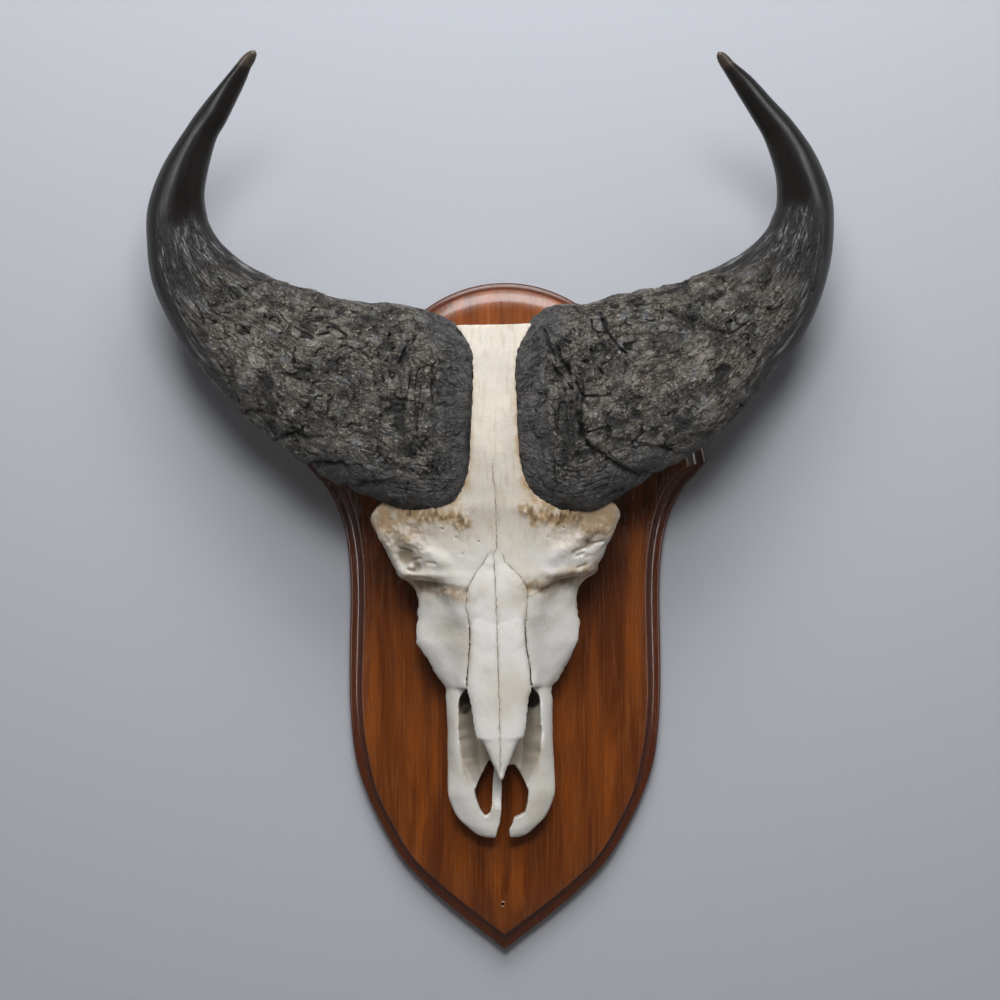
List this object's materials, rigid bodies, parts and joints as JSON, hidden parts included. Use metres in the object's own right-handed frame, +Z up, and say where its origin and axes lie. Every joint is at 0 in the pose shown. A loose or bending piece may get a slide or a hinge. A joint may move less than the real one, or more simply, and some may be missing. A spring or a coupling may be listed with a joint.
{
  "type": "cape buffalo skull on shield plaque",
  "caption": "Upper half-skull of a cape buffalo with its curved horns and rough bosses, fixed to a moulded wooden shield plaque that hangs flat on a wall.",
  "frame": {"origin": "middle of the plaque's flat back face, which lies on the wall", "axes": "+Y into the wall, +Z up, +X to the right of a viewer who faces the skull"},
  "size_m": [0.6789, 0.168, 0.8867],
  "materials": {
    "varnished_wood": "varnished mahogany, satin to semi-gloss",
    "bone": "bleached dry bone, matt, stained ochre round the horns and eyes",
    "horn": "rough dark bark on the bosses, smooth satin at the tips"
  },
  "bodies": {
    "root": {"plaque": "varnished_wood", "skull": "bone", "horn_left": "horn", "horn_right": "horn"}
  },
  "joints": []
}
